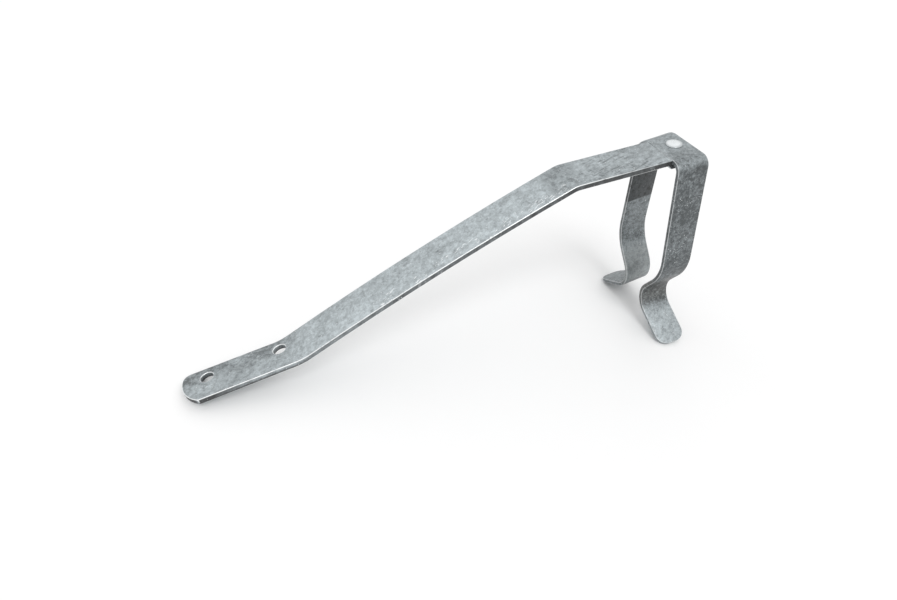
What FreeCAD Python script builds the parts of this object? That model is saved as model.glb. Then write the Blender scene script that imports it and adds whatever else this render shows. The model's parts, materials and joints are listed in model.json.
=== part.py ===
"""Galvanised cranked strap with a riveted spring clip.

A flat steel strap is screwed down by its rounded end. It cranks up and over, and a clip of
thinner spring steel, riveted to its other end, snaps over a rail. The three pieces are built in
the frame of the screwed end and then laid on the ground, on the strap's tip and the clip's feet.
All sizes are in millimetres and degrees.
"""
import FreeCAD, Part
import math
import os

from FreeCAD import Placement, Rotation, Vector

# Strap arm: hot-dip galvanised flat bar
ARM_WIDTH = 30.0
ARM_THICKNESS = 4.0
MOUNT_LENGTH = 75.7          # tip to where the two flats of the lower bend would meet
RISER_LENGTH = 219.8         # from there to where the flats of the upper bend would meet
END_RUN = 73.2               # from there to the clip's edge
TIP_RADIUS = 25.5            # the tip is sheared along one arc
TIP_ARC_OFFSET = 6.0         # whose centre lies this far from the middle, to the far side
TIP_CORNER_RADIUS = 6.0      # rounding where that arc meets the far edge
LOWER_BEND_ANGLE = 18.75
LOWER_BEND_SKEW = 23.5       # the lower bend runs across the bar at this angle off square
LOWER_BEND_RADIUS = 30.0     # inside radius
UPPER_BEND_ANGLE = 18.85
UPPER_BEND_RADIUS = 14.0
RISER_BOW = 5.6              # how far the riser turns down along its length
SCREW_HOLE_RADIUS = 4.5
FIRST_HOLE_FROM_TIP = 17.3
HOLE_SPACING = 51.0
HOLE_OFFSET = 5.3            # the holes sit nearer to the far edge of the strap
JOGGLE_RUN = 2.5             # the underside slopes down over this length, just before the clip
TONGUE_SETBACK = 2.0         # from the clip's outer edge to the end of the tongue

# Spring clip: thinner and narrower strip, bent to an open-ended box with flared feet
CLIP_WIDTH = 24.4
CLIP_THICKNESS = 3.0
NEAR_SPAN = 23.0             # middle of the strap to the outer face of the near leg
FAR_SPAN = 27.4              # middle of the strap to the outer face of the far leg
NEAR_SHOULDER_RADIUS = 4.5   # inside radii
FAR_SHOULDER_RADIUS = 10.5
FAR_SHOULDER_SKEW = 5.4      # the far shoulder is bent this far off square
LEG_SPLAY = 4.0
LEG_DEPTH = 80.7             # top of the clip to where the legs start to turn in
WAIST_RADIUS = 36.0          # inside radius of the turn in
WAIST_ANGLE = 35.5
WAIST_RUN = 12.3
THROAT_RADIUS = 15.5         # inside radius of the turn out
FOOT_ANGLE = 60.0
FOOT_RUN = 30.6
FOOT_CORNER_RADIUS = 9.0

# Rivet
RIVET_RADIUS = 3.0
RIVET_OFFSET_ALONG = 1.7     # from the middle of the clip's top plate
RIVET_OFFSET_ACROSS = 3.4
RIVET_HEAD_RADIUS = 5.8
RIVET_HEAD_HEIGHT = 1.0
RIVET_TAIL_RADIUS = 5.0
RIVET_TAIL_HEIGHT = 2.2

FAR_AWAY = 500.0             # size of the blocks that trim a piece to one side of a plane
ACROSS = Vector(0, 1, 0)
UP = Vector(0, 0, 1)


def turned(point, centre, angle):
    """The point turned about the centre in the XZ plane, from +X towards +Z."""
    return centre + Rotation(-ACROSS, math.degrees(angle)).multVec(point - centre)


def bar_side(steps, thickness):
    """Side view, in the XZ plane, of a bent bar that starts at the origin and points along +X.

    The steps walk along the bar's top line: ("run", length), ("bend", inside radius, turn up) or
    ("step", length, drop), where the underside slopes down and the top drops at the step's end.
    Returns the face, and a placement at the end of each step.
    """
    top_edges, under_edges, stations = [], [], []
    point, heading = Vector(), 0.0
    for kind, first, *rest in steps:
        along = Vector(math.cos(heading), 0, math.sin(heading))
        above = Vector(-math.sin(heading), 0, math.cos(heading))
        under = point - above * thickness
        if kind == "bend":
            turn = math.radians(rest[0])
            centre = point + above * first if turn > 0 else under - above * first
            top_line, under_line = [
                Part.Arc(p, turned(p, centre, turn / 2), turned(p, centre, turn)).toShape()
                for p in (point, under)]
            top_edges.append(top_line)
            point = turned(point, centre, turn)
            heading += turn
        else:
            drop = rest[0] if kind == "step" else 0.0
            corner = point + along * first
            top_edges.append(Part.LineSegment(point, corner).toShape())
            if drop:
                top_edges.append(Part.LineSegment(corner, corner - above * drop).toShape())
            point = corner - above * drop
            under_line = Part.LineSegment(under, point - above * thickness).toShape()
        under_edges.append(under_line)
        stations.append(Placement(point, Rotation(-ACROSS, math.degrees(heading))))
    start_cap = Part.LineSegment(Vector(), Vector(0, 0, -thickness)).toShape()
    last_under = stations[-1].multVec(Vector(0, 0, -thickness))
    end_cap = Part.LineSegment(stations[-1].Base, last_under).toShape()
    outline = Part.Wire(Part.__sortEdges__([start_cap, end_cap] + top_edges + under_edges))
    return Part.Face(outline), stations


def extruded_across(face, low, high):
    """The side view drawn out along Y, from low to high."""
    return face.translated(ACROSS * low).extrude(ACROSS * (high - low))


def trimmed(solid, point, direction):
    """The part of the solid that lies behind the plane through the point, facing direction."""
    block = Part.makeBox(FAR_AWAY, FAR_AWAY, FAR_AWAY, Vector(-FAR_AWAY / 2, -FAR_AWAY / 2, 0))
    block.Placement = Placement(point, Rotation(UP, direction))
    return solid.cut(block)


def moved(shape, place):
    """The shape carried along by a placement."""
    return shape.transformed(place.toMatrix(), copy=True)


def merged(*solids):
    """One solid from several that meet face to face, with no seams left on its flats."""
    shape = solids[0].multiFuse(list(solids[1:])).removeSplitter()
    return shape.Solids[0]


def mount_flat(end_point, bend_normal):
    """The flat that is screwed down: a rounded tip, and an end cut along the skewed bend."""
    half = ARM_WIDTH / 2
    near_corner, tip_middle, far_corner = [tip_point(y) for y in (-half, TIP_ARC_OFFSET, half)]
    past_bend = end_point.x + ARM_WIDTH
    outline = Part.Wire([
        Part.Arc(near_corner, tip_middle, far_corner).toShape(),
        Part.LineSegment(far_corner, Vector(past_bend, half, 0)).toShape(),
        Part.LineSegment(Vector(past_bend, half, 0), Vector(past_bend, -half, 0)).toShape(),
        Part.LineSegment(Vector(past_bend, -half, 0), near_corner).toShape(),
    ])
    flat = Part.Face(outline).extrude(Vector(0, 0, -ARM_THICKNESS))
    far_corner_edges = [e for e in flat.Edges if on_line(e, far_corner, UP)]
    flat = flat.makeFillet(TIP_CORNER_RADIUS, far_corner_edges)
    return trimmed(flat, end_point, bend_normal)


def tip_point(y):
    """The point of the tip's arc at that place across the strap."""
    return Vector(TIP_RADIUS - math.sqrt(TIP_RADIUS ** 2 - (y - TIP_ARC_OFFSET) ** 2), y, 0)


def on_line(edge, point, direction):
    """Whether both ends of the edge lie on the line through the point."""
    return all((v.Point - point).cross(direction).Length < 1e-4 for v in edge.Vertexes)


def skewed_bend(start, bend_axis, skew):
    """The bar's lower bend, as a loft of sections that turn about an axis along bend_axis.

    Returns the solid and the placement of the bar where the bend ends.
    """
    section_count = 7
    centre = start + UP * LOWER_BEND_RADIUS
    middle_radius = LOWER_BEND_RADIUS + ARM_THICKNESS / 2
    half = bend_axis * (ARM_WIDTH / 2 / math.cos(skew))
    depth = Vector(0, 0, -ARM_THICKNESS)
    sections = []
    for number in range(section_count):
        angle = math.radians(LOWER_BEND_ANGLE) * number / (section_count - 1)
        turn = Rotation(-bend_axis, math.degrees(angle))
        drift = bend_axis * (-middle_radius * angle * math.tan(skew))
        place = Placement(centre + turn.multVec(start - centre) + drift, turn)
        corners = [place.multVec(c) for c in (-half, half, half + depth, -half + depth)]
        sections.append(Part.makePolygon(corners + corners[:1]))
    return Part.makeLoft(sections, True), place


def strap_arm():
    """The cranked strap. Returns it with the placement of the clip's edge on its top face."""
    skew = math.radians(LOWER_BEND_SKEW)
    bend_normal = Vector(math.cos(skew), math.sin(skew), 0)
    bend_axis = Vector(-math.sin(skew), math.cos(skew), 0)
    half_turn = math.radians(LOWER_BEND_ANGLE) / 2
    setback = LOWER_BEND_RADIUS * math.tan(half_turn) / math.cos(skew)
    bend_start = Vector(MOUNT_LENGTH - setback, 0, 0)
    flat = mount_flat(bend_start, bend_normal)
    bend, riser_place = skewed_bend(bend_start, bend_axis, skew)

    upper_radius = UPPER_BEND_RADIUS + ARM_THICKNESS
    upper_setback = upper_radius * math.tan(math.radians(UPPER_BEND_ANGLE) / 2)
    riser_run = RISER_LENGTH - setback - upper_setback
    bow_radius = riser_run / math.radians(RISER_BOW) - ARM_THICKNESS
    lead_in = ARM_WIDTH / 2 * math.tan(skew)
    side, stations = bar_side([
        ("bend", bow_radius, -RISER_BOW),
        ("bend", UPPER_BEND_RADIUS, -UPPER_BEND_ANGLE),
        ("run", END_RUN - upper_setback - JOGGLE_RUN),
        ("step", JOGGLE_RUN, CLIP_THICKNESS),
        ("run", CLIP_WIDTH - TONGUE_SETBACK),
    ], ARM_THICKNESS)
    riser = extruded_across(side, -ARM_WIDTH / 2, ARM_WIDTH / 2)
    stub_corner = Vector(-lead_in, -ARM_WIDTH / 2, -ARM_THICKNESS)
    stub = Part.makeBox(lead_in, ARM_WIDTH, ARM_THICKNESS, stub_corner)
    riser = trimmed(merged(riser, stub), Vector(), -bend_normal)
    riser = moved(riser, riser_place)

    arm = merged(flat, bend, riser)
    for number in range(2):
        hole_x = FIRST_HOLE_FROM_TIP + number * HOLE_SPACING
        hole = Part.makeCylinder(
            SCREW_HOLE_RADIUS, 4 * ARM_THICKNESS, Vector(hole_x, HOLE_OFFSET, -2 * ARM_THICKNESS))
        arm = arm.cut(hole)
    to_clip_edge = Placement(Vector(JOGGLE_RUN, 0, 0), Rotation())
    clip_edge = riser_place.multiply(stations[2]).multiply(to_clip_edge)
    for side, room in tongue_room().items():
        shaving_corner = Vector(0, room if side > 0 else -room - ARM_WIDTH, -CLIP_WIDTH)
        shaving = Part.makeBox(CLIP_WIDTH, ARM_WIDTH, CLIP_WIDTH, shaving_corner)
        arm = arm.cut(moved(shaving, clip_edge))
    return arm, clip_edge


def tongue_room():
    """How far the tongue may reach to each side and still lie on the clip's flat underside."""
    skew_loss = CLIP_WIDTH / 2 * math.tan(math.radians(FAR_SHOULDER_SKEW))
    return {
        -1: NEAR_SPAN - CLIP_THICKNESS - NEAR_SHOULDER_RADIUS,
        1: FAR_SPAN - CLIP_THICKNESS - FAR_SHOULDER_RADIUS - skew_loss}


def clip_half(span, shoulder_radius, skew, side):
    """The half of the clip on one side of the strap's middle: side is -1 near, +1 far."""
    shoulder_outside = shoulder_radius + CLIP_THICKNESS
    leg_run = (LEG_DEPTH - shoulder_outside) / math.cos(math.radians(LEG_SPLAY))
    lead_in = CLIP_WIDTH * math.tan(math.radians(skew))
    face, _ = bar_side([
        ("run", lead_in + span - shoulder_outside),
        ("bend", shoulder_radius, LEG_SPLAY - 90),
        ("run", leg_run),
        ("bend", WAIST_RADIUS, -LEG_SPLAY - WAIST_ANGLE),
        ("run", WAIST_RUN),
        ("bend", THROAT_RADIUS, WAIST_ANGLE + FOOT_ANGLE),
        ("run", FOOT_RUN),
    ], CLIP_THICKNESS)
    half = extruded_across(face, -CLIP_WIDTH, CLIP_WIDTH)
    half.translate(Vector(-lead_in, 0, 0))
    half = moved(half, Placement(Vector(), Rotation(UP, 90 * side + skew)))
    for edge_side in (-1, 1):
        edge_normal = Vector(edge_side, 0, 0)
        half = trimmed(half, edge_normal * (CLIP_WIDTH / 2), edge_normal)
    half = trimmed(half, Vector(), Vector(0, -side, 0))
    return rounded_foot(half)


def rounded_foot(half):
    """The half clip with the two corners of its foot rounded."""
    lowest = min(half.Vertexes, key=lambda v: v.Point.z).Point.z
    reach = CLIP_THICKNESS * 2
    corners = [
        e for e in half.Edges
        if abs(e.Length - CLIP_THICKNESS) < CLIP_THICKNESS / 10
        and max(v.Point.z for v in e.Vertexes) < lowest + reach]
    return half.makeFillet(FOOT_CORNER_RADIUS, corners)


def spring_clip():
    """The clip, with its top face at z = 0 and the strap's middle line along X."""
    near_half = clip_half(NEAR_SPAN, NEAR_SHOULDER_RADIUS, 0.0, -1)
    far_half = clip_half(FAR_SPAN, FAR_SHOULDER_RADIUS, FAR_SHOULDER_SKEW, 1)
    return merged(near_half, far_half)


def rivet():
    """A low-headed rivet, its head on z = 0 and its tail closed under the tongue."""
    grip = CLIP_THICKNESS + ARM_THICKNESS
    rim = RIVET_HEAD_HEIGHT * 0.7
    head_rim = Vector(RIVET_HEAD_RADIUS, 0, 0)
    head_shoulder = Vector(RIVET_HEAD_RADIUS - rim, 0, RIVET_HEAD_HEIGHT)
    head_bulge = Vector(RIVET_HEAD_RADIUS - rim * 0.3, 0, RIVET_HEAD_HEIGHT * 0.7)
    tail_rim = Vector(RIVET_TAIL_RADIUS, 0, -grip)
    tail_shoulder = Vector(RIVET_RADIUS, 0, -grip - RIVET_TAIL_HEIGHT)
    tail_bulge = Vector(RIVET_TAIL_RADIUS * 0.93, 0, -grip - RIVET_TAIL_HEIGHT * 0.6)
    straight = [
        (Vector(0, 0, RIVET_HEAD_HEIGHT), head_shoulder),
        (head_rim, Vector(RIVET_RADIUS, 0, 0)),
        (Vector(RIVET_RADIUS, 0, 0), Vector(RIVET_RADIUS, 0, -grip)),
        (Vector(RIVET_RADIUS, 0, -grip), tail_rim),
        (tail_shoulder, Vector(0, 0, tail_shoulder.z)),
        (Vector(0, 0, tail_shoulder.z), Vector(0, 0, RIVET_HEAD_HEIGHT)),
    ]
    edges = [Part.LineSegment(start, end).toShape() for start, end in straight]
    edges.append(Part.Arc(head_shoulder, head_bulge, head_rim).toShape())
    edges.append(Part.Arc(tail_rim, tail_bulge, tail_shoulder).toShape())
    outline = Part.Wire(Part.__sortEdges__(edges))
    return Part.Face(outline).revolve(Vector(), UP, 360)


def lowest_point(points, up):
    return min(points, key=lambda p: p.dot(up))


def resting_turn(arm, clip, clip_place):
    """The turn that brings the strap's tip and both feet down to one level."""
    fineness = 0.1
    arm_points = arm.tessellate(fineness)[0]
    clip_points = clip.tessellate(fineness)[0]
    middle = clip_place.inverse()
    near_points = [p for p in clip_points if middle.multVec(p).y < 0]
    far_points = [p for p in clip_points if middle.multVec(p).y > 0]
    up = UP
    for _ in range(6):
        tip, near_foot, far_foot = [
            lowest_point(points, up) for points in (arm_points, near_points, far_points)]
        up = (near_foot - tip).cross(far_foot - tip).normalize()
    return Rotation(up, UP)


def build():
    """Every piece by name, laid on the ground with the origin under the middle."""
    arm, clip_edge = strap_arm()
    clip_place = clip_edge.multiply(Placement(Vector(CLIP_WIDTH / 2, 0, 0), Rotation()))
    rivet_spot = Vector(RIVET_OFFSET_ALONG, RIVET_OFFSET_ACROSS, 0)
    rivet_place = clip_place.multiply(Placement(rivet_spot, Rotation()))
    rivet_piece = moved(rivet(), rivet_place)
    grip = CLIP_THICKNESS + ARM_THICKNESS
    rivet_hole = moved(
        Part.makeCylinder(RIVET_RADIUS, 2 * grip, Vector(0, 0, -1.5 * grip)), rivet_place)
    arm = arm.cut(rivet_hole)
    clip = moved(spring_clip(), clip_place).cut(rivet_hole)

    turn = Placement(Vector(), resting_turn(arm, clip, clip_place))
    pieces = {
        name: moved(piece, turn)
        for name, piece in (("strap_arm", arm), ("spring_clip", clip), ("rivet", rivet_piece))}
    box = FreeCAD.BoundBox()
    for piece in pieces.values():
        box.add(piece.optimalBoundingBox(False))
    lift = Placement(Vector(-box.Center.x, -box.Center.y, -box.ZMin), Rotation())
    places = {"mount": lift.multiply(turn), "clip": lift.multiply(turn).multiply(clip_place)}
    return {name: moved(piece, lift) for name, piece in pieces.items()}, places


def main():
    os.makedirs("parts", exist_ok=True)
    pieces, _ = build()
    for name, piece in pieces.items():
        solids = piece.Solids
        assert len(solids) == 1 and piece.isValid(), name
        solids[0].exportStep(os.path.join("parts", name + ".step"))
        print(name, "volume", round(piece.Volume), "cubic millimetres")


main()
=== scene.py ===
# The looks of a galvanised cranked strap with a riveted spring clip. Lengths are in metres, and
# sizes named _mm are in millimetres. The CAD nodes give every piece its shape and place.
import json
import math

import bmesh
import bpy
from mathutils import Euler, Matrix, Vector
from mathutils.geometry import intersect_point_line


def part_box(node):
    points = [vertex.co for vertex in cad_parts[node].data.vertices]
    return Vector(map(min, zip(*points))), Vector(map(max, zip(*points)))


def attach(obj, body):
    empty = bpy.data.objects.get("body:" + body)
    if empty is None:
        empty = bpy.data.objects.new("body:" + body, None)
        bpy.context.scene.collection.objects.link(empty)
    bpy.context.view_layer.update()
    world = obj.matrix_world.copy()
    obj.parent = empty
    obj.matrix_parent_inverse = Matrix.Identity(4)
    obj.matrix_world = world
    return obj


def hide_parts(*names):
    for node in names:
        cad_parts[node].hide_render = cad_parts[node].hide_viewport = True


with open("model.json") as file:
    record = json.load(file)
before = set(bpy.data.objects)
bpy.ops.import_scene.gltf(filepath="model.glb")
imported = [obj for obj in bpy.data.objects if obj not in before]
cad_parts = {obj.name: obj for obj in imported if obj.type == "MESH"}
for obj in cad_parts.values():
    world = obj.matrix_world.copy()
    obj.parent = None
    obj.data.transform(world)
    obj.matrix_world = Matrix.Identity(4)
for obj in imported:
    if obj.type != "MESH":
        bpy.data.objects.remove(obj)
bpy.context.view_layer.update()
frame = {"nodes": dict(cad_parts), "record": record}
MM = 0.001


# ---------------------------------------------------------------- node helpers

class Signal:
    """A node's output socket. Sums, differences and products of signals add Math nodes."""

    def __init__(self, tree, socket):
        self.tree = tree
        self.socket = socket

    def math(self, operation, *values):
        inputs = dict(enumerate(values))
        return self.tree.node("ShaderNodeMath", {"operation": operation}, inputs)

    def __add__(self, other):
        return self.math("ADD", self, other)

    def __sub__(self, other):
        return self.math("SUBTRACT", self, other)

    def __rsub__(self, other):
        return self.math("SUBTRACT", other, self)

    def __mul__(self, other):
        return self.math("MULTIPLY", self, other)

    def __abs__(self):
        return self.math("ABSOLUTE", self)

    __radd__ = __add__
    __rmul__ = __mul__


class Tree:
    """A node tree whose nodes are all made through one method."""

    def __init__(self, tree):
        self.tree = tree
        self.tree.nodes.clear()

    def node(self, kind, settings=None, inputs=None, output=0):
        """Adds a node: its settings first, then its sockets by identifier, name or number.

        A list of signals goes into one socket that takes several links.
        """
        made = self.tree.nodes.new(kind)
        for name, value in (settings or {}).items():
            if name == "stops":
                set_stops(made.color_ramp, value)
            else:
                setattr(made, name, value)
        by_identifier = {socket.identifier: socket for socket in made.inputs}
        for name, value in (inputs or {}).items():
            socket = by_identifier.get(name) or made.inputs[name]
            if isinstance(value, Signal):
                self.tree.links.new(value.socket, socket)
            elif isinstance(value, list):
                for signal in value:
                    self.tree.links.new(signal.socket, socket)
            else:
                socket.default_value = value
        return Signal(self, made.outputs[output]) if made.outputs else made


class Finish(Tree):
    """The nodes of one material."""

    def __init__(self, name):
        self.material = bpy.data.materials.new(name)
        self.material.use_nodes = True
        super().__init__(self.material.node_tree)

    def place(self):
        """The place on the piece, in millimetres."""
        return self.scaled(self.node("ShaderNodeTexCoord", output="Object"), (1000, 1000, 1000))

    def scaled(self, vector, factors):
        return self.vector("MULTIPLY", vector, factors)

    def shifted(self, vector, offset):
        return self.vector("ADD", vector, offset)

    def vector(self, operation, first, second, output="Vector"):
        inputs = {0: first, 1: second}
        return self.node("ShaderNodeVectorMath", {"operation": operation}, inputs, output)

    def noise(self, place, size_mm, detail=2.0, roughness=0.5, output="Fac"):
        """Soft noise with blotches of about the given size, from 0 to 1."""
        inputs = {"Vector": place, "Scale": 1 / size_mm, "Detail": detail, "Roughness": roughness}
        return self.node("ShaderNodeTexNoise", {}, inputs, output)

    def cells(self, place, size_mm, feature="F1"):
        """How far the place is from the middle of its crystal cell."""
        inputs = {"Vector": place, "Scale": 1 / size_mm}
        return self.node("ShaderNodeTexVoronoi", {"feature": feature}, inputs, "Distance")

    def ease(self, value, low, high):
        """Runs smoothly from 0 to 1 while the value runs from low to high, which may be lower."""
        settings = {"interpolation_type": "SMOOTHSTEP", "clamp": True}
        return self.node("ShaderNodeMapRange", settings, {0: value, 1: low, 2: high})

    def band(self, value, low, high, soft):
        """One between low and high, fading to 0 outside them."""
        return self.ease(value, low - soft, low) * self.ease(value, high + soft, high)

    def painted(self, factor, under, over):
        """One colour over another, as far as the factor says."""
        inputs = {"Factor_Float": factor, "A_Color": under, "B_Color": over}
        return self.node("ShaderNodeMix", {"data_type": "RGBA"}, inputs, 2)

    def along(self, place, origin, axis):
        """How far the place lies from the origin along an axis, in millimetres."""
        moved = self.shifted(place, tuple(-value / MM for value in origin))
        return self.vector("DOT_PRODUCT", moved, tuple(axis), "Value")

    def scratches(self, long_way, short_way, length_mm, width_mm):
        """Thin marks that run the long way."""
        inputs = {0: long_way * (1 / length_mm), 1: short_way * (1 / width_mm)}
        drawn = self.node("ShaderNodeCombineXYZ", {}, inputs)
        return self.noise(drawn, 1.0, 3, 0.6)

    def attribute(self, name):
        return self.node("ShaderNodeAttribute", {"attribute_name": name}, output="Fac")

    def surface(self, inputs):
        shader = self.node("ShaderNodeBsdfPrincipled", {}, inputs)
        self.node("ShaderNodeOutputMaterial", {}, {"Surface": shader})
        return self.material


def set_stops(ramp, stops):
    while len(ramp.elements) < len(stops):
        ramp.elements.new(1.0)
    for element, (position, colour) in zip(ramp.elements, stops):
        element.position = position
        element.color = colour


# ---------------------------------------------------------------- finishes

def zinc_tone(level, cool=0.12):
    """A grey of the given level, a little short of red and green, as weathered zinc is."""
    return (level * (1 - cool), level * (1 - 0.25 * cool), level * (1 + 0.05 * cool), 1)


def plain_grey(level):
    return (level, level, level, 1)


GRIME = zinc_tone(0.05, 0.05)
PALE_MARK = zinc_tone(0.97, 0.04)
RUBBED_CORNER_AND_GLINT = zinc_tone(0.98, 0.03)
BEAD_GLINT = zinc_tone(0.92, 0.04)
# Near-black for the tip's darkened end face and for painted shade down the holes' walls.
DARK_END_AND_HOLE_SHADE = zinc_tone(0.025, 0)
EDGE_FADE = (0.35, 0.02)  # how far inside the strip's side its dull, shaded edge starts and is full, in mm
RELIEF = 0.14 * MM


def galvanised(name, dark, light, spangle_mm, half_width_mm, look, seed):
    """Hot-dip zinc: soft spangle, fine grain, pale specks, corners painted bright for rub and glint,
    and dull rolled edges darkened further as painted shade.
    """
    finish = Finish(name)
    bare = finish.place()
    place = finish.shifted(bare, (seed * 37.0, seed * 11.0, seed * 23.0))
    drift = finish.noise(place, spangle_mm * 1.6, 2, output="Color")
    warped = finish.shifted(place, finish.scaled(drift, (spangle_mm, spangle_mm, spangle_mm)))
    crystals = finish.noise(warped, spangle_mm, 5, 0.62)
    flakes = finish.cells(warped, spangle_mm * 0.45, "SMOOTH_F1")
    broad = finish.noise(place, 24, 3)
    grain = finish.noise(place, 0.9, 2, 0.6)
    tone = 0.5 + (crystals - 0.5) * look["spangle"] + (flakes - 0.45) * look["flakes"]
    tone = tone + (broad - 0.5) * look["broad"] + (grain - 0.5) * look["grain"]
    tone = tone + look["lift"](finish, bare)
    half_way = tuple((d + e) / 2 for d, e in zip(dark, light))
    stops = [(0.05, dark), (0.5, half_way), (0.95, light)]
    colour = finish.node("ShaderNodeValToRGB", {"stops": stops}, {"Fac": tone})

    across = finish.attribute("across_mm")
    strip_sides = finish.ease(
        abs(across), half_width_mm - EDGE_FADE[0], half_width_mm - EDGE_FADE[1])
    edge_patches = 0.55 + finish.noise(place, 6, 2) * 0.9
    # The strip's sides are painted dark: a dull rolled edge, and painted shade on faces turned from the
    # light.
    colour = finish.painted(strip_sides * edge_patches * look["edge_dull_and_shade"], colour, look["edge_shade_colour"])
    grime = finish.ease(finish.noise(place, 4.5, 4, 0.65), 0.50, 0.70)
    colour = finish.painted(grime * look["grime"], colour, GRIME)

    speck_spots = finish.ease(finish.cells(place, 2.2), 0.20, 0.09)
    speck_fields = finish.ease(finish.noise(place, 9, 2), 0.62 - look["specks"] * 0.2, 0.74)
    scuffs = finish.ease(look["scuffs"](finish, bare), 0.58, 0.66) * (1 - strip_sides)
    specks = speck_spots * speck_fields
    pale = specks.math("MAXIMUM", specks, scuffs)
    colour = finish.painted(pale * 0.85, colour, PALE_MARK)
    for zone in look["zones"]:
        colour = finish.painted(zone["mask"](finish, bare, crystals), colour, zone["colour"])
    # Corners painted bright: rubbed zinc, and a painted highlight along the edges.
    rub = finish.attribute("corner_rub") * finish.ease(finish.noise(place, 3.5, 4), 0.2, 0.48)
    colour = finish.painted(rub * look["rub"], colour, RUBBED_CORNER_AND_GLINT)
    # Painted glint: the zinc beads are painted pale.
    colour = finish.painted(finish.attribute("bead") * 0.7, colour, BEAD_GLINT)
    # The tip's end face is darkened, and the holes' walls get painted shade.
    colour = finish.painted(finish.attribute("raw_cut") * 0.92, colour, DARK_END_AND_HOLE_SHADE)

    roughness = look["roughness"] + (0.5 - crystals) * 0.2 + (grain - 0.5) * 0.14
    roughness = roughness - rub * 0.12 - pale * 0.15
    relief = (crystals * 0.7 + grain * 0.3 + pale * 0.8) * RELIEF
    bump = finish.node("ShaderNodeBump", {}, {"Height": relief, "Distance": 1.0, "Strength": 0.7})
    return finish.surface({
        "Base Color": colour, "Metallic": look["metallic"], "Roughness": roughness, "Normal": bump})


def floor_paint():
    """Plain pale floor with the slightest unevenness."""
    finish = Finish("pale_floor")
    cloud = finish.noise(finish.place(), 400, 2)
    colour = finish.painted(cloud, plain_grey(0.89), plain_grey(0.905))
    return finish.surface({"Base Color": colour, "Roughness": 0.95, "Specular IOR Level": 0.1})


# ---------------------------------------------------------------- pieces

mounts = {mount["name"]: mount for mount in frame["record"]["mounts"]}
first_hole, second_hole = [
    Vector(mounts[name]["pos_m"]) for name in ("screw_hole_tip", "screw_hole_bend")]
flat_up = Vector(mounts["screw_hole_tip"]["axis"]).normalized()
flat_along = (second_hole - first_hole).normalized()
flat_across = flat_up.cross(flat_along)
clip_up = -Vector(mounts["rail_clip"]["axis"]).normalized()
clip_middle = Vector(mounts["rail_clip"]["pos_m"])

# The strap's and the clip's own sizes in millimetres, as in the part's source. The tip's arc and
# the holes are offset from the strap's middle line.
ARM_HALF_WIDTH = 15.0
ARM_THICKNESS = 4.0
TIP_RADIUS = 25.5
TIP_ARC_OFFSET = 6.0
FIRST_HOLE_FROM_TIP = 17.3
HOLE_OFFSET = 5.3
HOLE_RADIUS = 4.5
CLIP_HALF_WIDTH = 12.2

# Where the rail_clip mount lies, in millimetres: below the clip's top, and roughly this far to the
# far side of the strap's middle line.
CLIP_TOP_ABOVE_MOUNT = 43.0
CLIP_OFFSET = 2.0

PAINTED_SHADOW_DEPTH = 58.0  # how far below the clip's top the painted shadow ends, in mm
SLIVER = 0.03  # points nearer to each other than this are merged, in mm

CLIP_YAW = math.radians(2.2)
SHARP_ANGLE = math.radians(30)
clip_along = (Vector((math.cos(CLIP_YAW), math.sin(CLIP_YAW), 0))).normalized()
clip_along = (clip_along - clip_up * clip_along.dot(clip_up)).normalized()
clip_across = clip_up.cross(clip_along)


def how_far(point, origin, axis):
    """How far a point lies from the origin along an axis, in millimetres."""
    return (point - origin).dot(axis) / MM


def joined_copy(node, name):
    """A copy of a CAD node's mesh with its loose triangles merged and its flats made whole."""
    mesh = frame["nodes"][node].data.copy()
    mesh.materials.clear()
    piece = bpy.data.objects.new(name, mesh)
    bpy.context.scene.collection.objects.link(piece)
    work = bmesh.new()
    work.from_mesh(mesh)
    bmesh.ops.remove_doubles(work, verts=work.verts, dist=SLIVER * MM)
    bmesh.ops.dissolve_limit(
        work, angle_limit=math.radians(0.4), verts=work.verts, edges=work.edges)
    work.to_mesh(mesh)
    work.free()
    return piece


def baked(piece):
    """Works the piece's modifiers into its mesh."""
    depsgraph = bpy.context.evaluated_depsgraph_get()
    mesh = bpy.data.meshes.new_from_object(piece.evaluated_get(depsgraph), depsgraph=depsgraph)
    old = piece.data
    piece.modifiers.clear()
    piece.data = mesh
    bpy.data.meshes.remove(old)


def sharp_lines(piece):
    """The sharp edges of the piece, as pairs of points."""
    work = bmesh.new()
    work.from_mesh(piece.data)
    lines = [
        (edge.verts[0].co.copy(), edge.verts[1].co.copy()) for edge in work.edges
        if edge.calc_face_angle(0.0) > SHARP_ANGLE]
    work.free()
    return lines


def distance_to_line(point, line):
    share = intersect_point_line(point, *line)[1]
    return (point - line[0].lerp(line[1], min(1.0, max(0.0, share)))).length


def rounded_edges(piece, radius_mm):
    """Softens every sharp edge and marks the corners that are painted bright: rubbed zinc and a painted
    highlight.
    """
    lines = sharp_lines(piece)
    bevel = piece.modifiers.new("soft edges", "BEVEL")
    bevel.width = radius_mm * MM
    bevel.segments = 3
    bevel.limit_method = "ANGLE"
    bevel.angle_limit = SHARP_ANGLE
    bevel.use_clamp_overlap = False
    baked(piece)
    near = radius_mm * MM * 0.75

    def rub_and_glint_at(point):
        kept_dull = at_tip(point) or at_joint(point)
        return float(not kept_dull and any(distance_to_line(point, line) < near for line in lines))

    mark(piece, "corner_rub", rub_and_glint_at)
    piece.data.polygons.foreach_set("use_smooth", [True] * len(piece.data.polygons))
    piece.data.set_sharp_from_angle(angle=math.radians(50))
    return piece


def mark(piece, name, weigh):
    """Stores a number at each point of the mesh, worked out from where the point is."""
    layer = piece.data.attributes.new(name, "FLOAT", "POINT")
    for vertex, value in zip(piece.data.vertices, layer.data):
        value.value = weigh(vertex.co)


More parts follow.
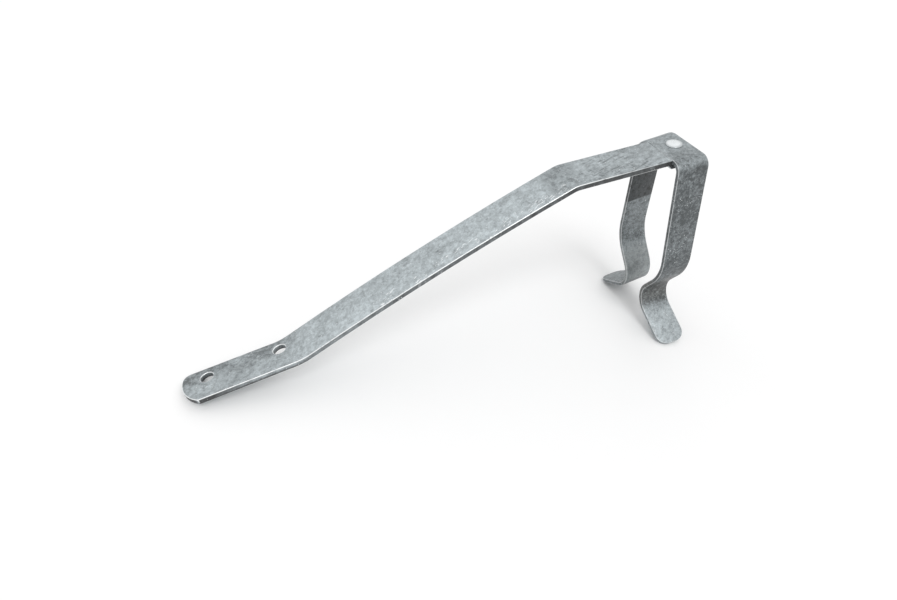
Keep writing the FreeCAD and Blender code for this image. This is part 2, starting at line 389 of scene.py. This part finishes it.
def finished(piece, node, material):
    """Gives the piece its finish, hangs it from the root and hides the node it stands for."""
    piece.data.materials.clear()
    piece.data.materials.append(material)
    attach(piece, "root")
    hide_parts(node)


def across_strap(point):
    """How far a point lies from the strap's middle line, in millimetres, far side positive."""
    if how_far(point, second_hole, flat_along) > 0:
        return how_far(point, clip_middle, clip_across) + CLIP_OFFSET
    return how_far(point, first_hole, flat_across) + HOLE_OFFSET


def across_clip(point):
    """How far a point lies from the middle of the clip's strip, in millimetres."""
    return how_far(point, clip_middle, clip_along)


def at_tip(point):
    """True low down round the tip, where no bright corner is painted."""
    return how_far(point, first_hole, flat_along) < -5 and how_far(point, first_hole, flat_up) < -0.7


def at_joint(point):
    """True where the strap's end meets the clip's edge."""
    high = how_far(point, clip_middle, clip_up) > CLIP_TOP_ABOVE_MOUNT - 5
    edge = abs(across_clip(point) + CLIP_HALF_WIDTH) < 2.5
    return high and edge and abs(how_far(point, clip_middle, clip_across)) < 17


def end_and_hole_shade_weight(point):
    """One on the darkened end face of the strap's tip, and rising to one down each hole's wall as
    painted shade.
    """
    for hole in (first_hole, second_hole):
        height = how_far(point, hole, flat_up)
        sideways = (point - hole).length_squared / MM ** 2 - height ** 2
        if sideways < (HOLE_RADIUS + 0.3) ** 2:
            return min(1.0, max(0.0, 0.5 - height / ARM_THICKNESS))
    return sheared_end(point)


def sheared_end(point):
    """One on the end face of the strap's tip, which is part of a round arc."""
    along = how_far(point, first_hole, flat_along)
    across = how_far(point, first_hole, flat_across)
    below_top = how_far(point, first_hole, flat_up) < ARM_THICKNESS / 2 - 0.6
    from_middle = math.hypot(
        along - (TIP_RADIUS - FIRST_HOLE_FROM_TIP), across - (TIP_ARC_OFFSET - HOLE_OFFSET))
    return float(below_top and along < -8 and from_middle > TIP_RADIUS - 0.5)


def clip_depth(finish, place):
    """How far below the clip's top the place lies, in millimetres."""
    return CLIP_TOP_ABOVE_MOUNT - finish.along(place, clip_middle, clip_up)


def clip_side(finish, place):
    """How far the place lies from the clip's middle towards the far leg, in millimetres."""
    return finish.along(place, clip_middle, clip_across)


def strap_reach(finish, place):
    """How far along the strap the place lies, seen from above, in millimetres."""
    return finish.along(place, (0, 0, 0), (1, 0, 0))


def strap_painted_light_and_dull_end(finish, place):
    """The riser is painted paler, as painted light on its tilted face. The low end is dull along its
    far edge.
    """
    reach = strap_reach(finish, place)
    side = finish.along(place, first_hole, flat_across)
    wisps = finish.noise(finish.scaled(place, (0.35, 1.3, 1)), 8, 3)
    dull = finish.ease(reach, -114, -136) * finish.ease(side, -9, 7) * finish.ease(wisps, 0.3, 0.6)
    # The riser's lift is painted light.
    return finish.band(reach, -106, 64, 16) * 0.2 - dull * 0.34


def strap_scuffs(finish, place):
    """Bright scuffs along the riser's near edge and short drag marks by the clip."""
    reach = strap_reach(finish, place)
    side = clip_side(finish, place)
    near_edge = finish.band(side, -17, -8, 2) * finish.band(reach, -60, 62, 20)
    by_clip = finish.band(reach, 84, 116, 8) * 0.85
    fields = near_edge.math("MAXIMUM", near_edge, by_clip)
    marks = finish.scratches(reach + side * 0.7, side - reach * 0.4, 4.0, 1.1)
    return marks * fields * finish.ease(finish.noise(place, 10, 2), 0.40, 0.52) * 1.05


def strap_bend_dark_and_drags(finish, place, crystals):
    """Darker patches across the upper bend and short drag marks in front of the clip."""
    reach = strap_reach(finish, place)
    side = clip_side(finish, place)
    marks = finish.scratches(reach, side - reach * 0.3, 16.0, 2.2)
    drags = finish.ease(marks, 0.52, 0.68) * finish.band(reach, 88, 134, 6)
    bend = finish.band(reach, 60, 72, 8) * finish.ease(crystals, 0.40, 0.62)
    return (drags + bend) * 0.6


def clip_painted_light_and_shade(finish, place):
    """Painted light and shade: the clip's top, near foot and far waist are painted brighter than the
    rest of its legs, and the near leg darker.
    """
    depth = clip_depth(finish, place)
    near = finish.ease(clip_side(finish, place), -4, -12)
    top = finish.ease(depth, 9, 1) * 0.30
    foot = finish.ease(depth, 132, 141) * near * 0.58
    waist = finish.band(depth, 104, 124, 10) * (1 - near) * 0.36
    # Painted light on the top, near foot and far waist, painted shade on the legs.
    return top + foot + waist - near * 0.22 - 0.13


def clip_scuffs(finish, place):
    """Pale flecks high on the near leg and curved scratches on its foot."""
    depth = clip_depth(finish, place)
    side = clip_side(finish, place)
    across = finish.along(place, clip_middle, clip_along)
    high = finish.band(depth, 18, 44, 10) * finish.ease(side, -14, -22) * 0.98
    foot = finish.band(depth, 141, 152, 3) * finish.ease(side, 0, -8)
    curved = finish.scratches(across + depth * 0.8, across * across * 0.05 - depth * 0.5, 11.0, 0.9)
    flecks = finish.noise(place, 1.3, 2)
    return flecks * high * 0.82 + curved * foot * 0.92


def far_leg_painted_shadow(finish, place, crystals):
    """Painted shadow high on the far leg's inner face, with a hard lower edge."""
    depth = clip_depth(finish, place)
    side = clip_side(finish, place)
    inner_face = finish.ease(side - depth * 0.065, 23.6, 22.8) * finish.ease(side, 10, 14)
    patches = 0.1 + crystals * 1.35
    return finish.band(depth, 14, PAINTED_SHADOW_DEPTH, 0.8) * inner_face * patches


def neck_stain(finish, place, crystals):
    """A faint brown stain above the neck."""
    return finish.band(clip_depth(finish, place), 108, 128, 10) * crystals * 0.3


def no_change(finish, place):
    """For a piece with no painted light or shade and no scuffs."""
    return 0.0


def rivet_rim_painted_shade(finish, place, crystals):
    """Painted shade: the rivet's head is greyer round its rim than in its bright middle."""
    low, high = (Vector(corner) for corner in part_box("rivet"))
    middle = (low + high) / 2
    lengthways = finish.along(place, middle, clip_along)
    sideways = finish.along(place, middle, clip_across)
    return finish.ease(lengthways * lengthways + sideways * sideways, 12, 30) * 0.5


# How strong each part of a finish is, its own lifts, which paint light and shade, its scuffs, and its
# zones of stains, darker patches and painted shade.
strap_look = {
    "spangle": 1.25, "flakes": 0.35, "broad": 0.6, "grain": 0.75, "edge_dull_and_shade": 0.95,
    "edge_shade_colour": zinc_tone(0.07, 0.06), "grime": 0.22, "specks": 0.75, "rub": 0.95,
    "roughness": 0.46, "metallic": 0.5, "lift": strap_painted_light_and_dull_end, "scuffs": strap_scuffs,
    "zones": [{"mask": strap_bend_dark_and_drags, "colour": zinc_tone(0.07)}]}
clip_look = dict(
    strap_look, spangle=1.1, broad=0.4, specks=0.95, grime=0.25, edge_dull_and_shade=0.3, rub=0.45,
    lift=clip_painted_light_and_shade, scuffs=clip_scuffs, zones=[
        # Painted shadow on the far leg's inner face.
        {"mask": far_leg_painted_shadow, "colour": zinc_tone(0.025, 0.05)},
        {"mask": neck_stain, "colour": (0.20, 0.17, 0.13, 1)}])
rivet_look = dict(
    strap_look, spangle=0.4, flakes=0.1, broad=0.1, grain=0.2, roughness=0.3, metallic=0.3,
    rub=0.1, grime=0.05, specks=0.0, lift=no_change, scuffs=no_change,
    zones=[{"mask": rivet_rim_painted_shade, "colour": zinc_tone(0.30)}])

NO_STRIP_SIDES = 99.0
strap_zinc = galvanised(
    "strap_zinc", zinc_tone(0.19), zinc_tone(0.66), 4.0, ARM_HALF_WIDTH, strap_look, 1)
clip_zinc = galvanised(
    "clip_zinc", zinc_tone(0.10), zinc_tone(0.52), 3.2, CLIP_HALF_WIDTH, clip_look, 2)
# The rivet's near-white tones are a painted highlight, and its rim gets painted shade.
rivet_zinc = galvanised(
    "rivet_zinc", zinc_tone(0.66, 0.05), zinc_tone(0.98, 0.05), 2.5, NO_STRIP_SIDES, rivet_look, 3)


SMALLEST_BEAD = 0.35


def bead_tree():
    """Geometry nodes that scatter small half-sunk beads of zinc over a piece."""
    group = bpy.data.node_groups.new("zinc_beads", "GeometryNodeTree")
    for name, direction, kind in (
            ("Geometry", "INPUT", "NodeSocketGeometry"), ("Bead radius", "INPUT", "NodeSocketFloat"),
            ("Beads per square metre", "INPUT", "NodeSocketFloat"), ("Seed", "INPUT", "NodeSocketInt"),
            ("Finish", "INPUT", "NodeSocketMaterial"), ("Geometry", "OUTPUT", "NodeSocketGeometry")):
        group.interface.new_socket(name, in_out=direction, socket_type=kind)
    tree = Tree(group)

    def given(name):
        return tree.node("NodeGroupInput", output=name)

    spots = tree.node(
        "GeometryNodeDistributePointsOnFaces", {}, {
            "Mesh": given("Geometry"), "Density": given("Beads per square metre"),
            "Seed": given("Seed")}, "Points")
    ball = tree.node(
        "GeometryNodeMeshIcoSphere", {}, {"Radius": given("Bead radius"), "Subdivisions": 2})
    ball = tree.node("GeometryNodeSetShadeSmooth", {}, {"Geometry": ball})
    ball = tree.node(
        "GeometryNodeStoreNamedAttribute", {"data_type": "FLOAT", "domain": "POINT"},
        {"Geometry": ball, "Name": "bead", "Value": 1.0})
    size = tree.node(
        "FunctionNodeRandomValue", {"data_type": "FLOAT"},
        {"Min_001": SMALLEST_BEAD, "Max_001": 1.0, "Seed": given("Seed")}, 1)
    beads = tree.node(
        "GeometryNodeInstanceOnPoints", {}, {"Points": spots, "Instance": ball, "Scale": size})
    joined = tree.node("GeometryNodeJoinGeometry", {}, {"Geometry": [given("Geometry"), beads]})
    whole = tree.node("GeometryNodeRealizeInstances", {}, {"Geometry": joined})
    coated = tree.node(
        "GeometryNodeSetMaterial", {}, {"Geometry": whole, "Material": given("Finish")})
    tree.node("NodeGroupOutput", {}, {"Geometry": coated})
    return group


def beaded(piece, group, radius_mm, per_square_metre, seed, material):
    """Adds zinc beads to the piece and coats the whole in its finish."""
    sizes = {
        "Bead radius": radius_mm * MM, "Beads per square metre": per_square_metre, "Seed": seed,
        "Finish": material}
    skin = piece.modifiers.new("zinc beads", "NODES")
    skin.node_group = group
    for socket in group.interface.items_tree:
        if socket.in_out == "INPUT" and socket.name in sizes:
            skin[socket.identifier] = sizes[socket.name]
    baked(piece)


zinc_beads = bead_tree()
strap = rounded_edges(joined_copy("strap_arm", "strap"), 0.6)
mark(strap, "across_mm", across_strap)
mark(strap, "raw_cut", end_and_hole_shade_weight)
beaded(strap, zinc_beads, 0.32, 5200.0, 4, strap_zinc)
finished(strap, "strap_arm", strap_zinc)

clip = rounded_edges(joined_copy("spring_clip", "clip"), 0.5)
mark(clip, "across_mm", across_clip)
beaded(clip, zinc_beads, 0.30, 7500.0, 9, clip_zinc)
finished(clip, "spring_clip", clip_zinc)

rivet = rounded_edges(joined_copy("rivet", "rivet_head_and_tail"), 0.2)
finished(rivet, "rivet", rivet_zinc)

# ---------------------------------------------------------------- floor, light and camera

FLOOR_HALF = 12.0
FLOOR_GAP = 0.2 * MM
floor_mesh = bpy.data.meshes.new("floor")
corners = [(-1, -1), (1, -1), (1, 1), (-1, 1)]
floor_mesh.from_pydata([(x * FLOOR_HALF, y * FLOOR_HALF, 0) for x, y in corners], [], [(0, 1, 2, 3)])
floor = bpy.data.objects.new("floor", floor_mesh)
floor.location.z = -FLOOR_GAP
floor_mesh.materials.append(floor_paint())
bpy.context.scene.collection.objects.link(floor)


def sky(zenith, horizon):
    """Studio surround: brighter overhead than at the sides."""
    world = bpy.data.worlds.new("studio")
    world.use_nodes = True
    bpy.context.scene.world = world
    tree = Tree(world.node_tree)
    place = tree.node("ShaderNodeTexCoord", output="Generated")
    height = tree.node("ShaderNodeSeparateXYZ", {}, {0: place}, "Z")
    glow = tree.node("ShaderNodeValToRGB", {"stops": [(0.0, horizon), (0.9, zenith)]}, {0: height})
    light = tree.node("ShaderNodeBackground", {}, {"Color": glow})
    tree.node("ShaderNodeOutputWorld", {}, {"Surface": light})


sky(plain_grey(1.05), plain_grey(0.56))


def sun(name, energy, softness, azimuth, elevation):
    """A sun whose light comes from that direction, in degrees: azimuth from +X towards +Y."""
    data = bpy.data.lights.new(name, "SUN")
    data.energy = energy
    data.angle = math.radians(softness)
    made = bpy.data.objects.new(name, data)
    bpy.context.scene.collection.objects.link(made)
    a, e = math.radians(azimuth), math.radians(elevation)
    towards = Vector((math.cos(a) * math.cos(e), math.sin(a) * math.cos(e), math.sin(e)))
    made.rotation_euler = towards.to_track_quat("Z", "Y").to_euler()


sun("key", 0.9, 24, 259, 53)

camera_data = bpy.data.cameras.new("camera")
camera_data.sensor_width = 36.0
camera_data.lens = 24.9
camera_data.clip_end = 100.0
camera = bpy.data.objects.new("camera", camera_data)
camera.location = Vector((-0.14420, -0.32736, 0.32901))
camera.rotation_euler = Euler([math.radians(a) for a in (50.768, -5.699, -18.867)])
bpy.context.scene.collection.objects.link(camera)
bpy.context.scene.camera = camera
bpy.context.scene.view_settings.view_transform = "Standard"
